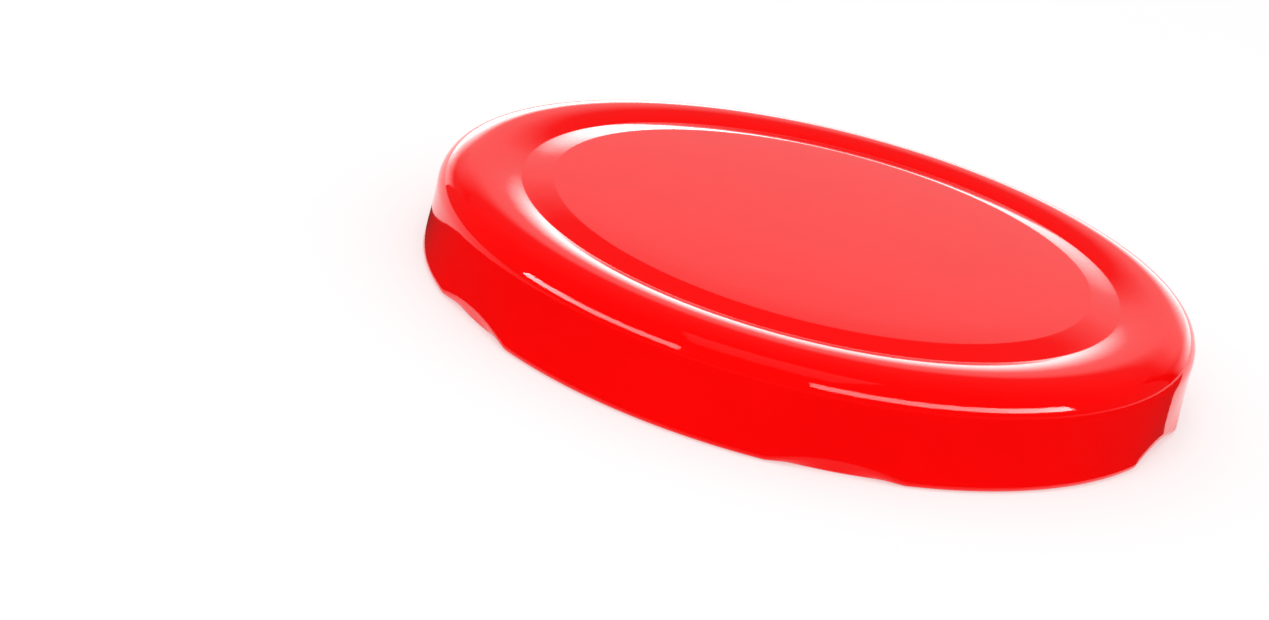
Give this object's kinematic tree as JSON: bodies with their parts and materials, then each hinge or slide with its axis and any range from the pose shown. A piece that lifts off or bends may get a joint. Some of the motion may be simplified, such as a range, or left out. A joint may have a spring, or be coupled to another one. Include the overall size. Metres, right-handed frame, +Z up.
{
  "type": "screw cap",
  "caption": "Round pressed sheet-metal screw cap for a wide-mouth jar: raised bead, flat panel, rolled rim pressed inwards into lugs, and a flowed-in sealing ring.",
  "frame": {"origin": "centre of the open mouth, on the plane that the rolled rim rests on", "axes": "+Z up the axis of the cap from the open mouth to the outside of the panel; +X through the middle of one lug"},
  "size_m": [0.0834, 0.084, 0.0104],
  "materials": {
    "lacquered_sheet": "gloss red lacquer outside, gloss cream lacquer inside",
    "seal_compound": "smooth, slightly glossy"
  },
  "bodies": {
    "root": {"cap_shell": "lacquered_sheet", "sealing_ring": "seal_compound"}
  },
  "joints": []
}
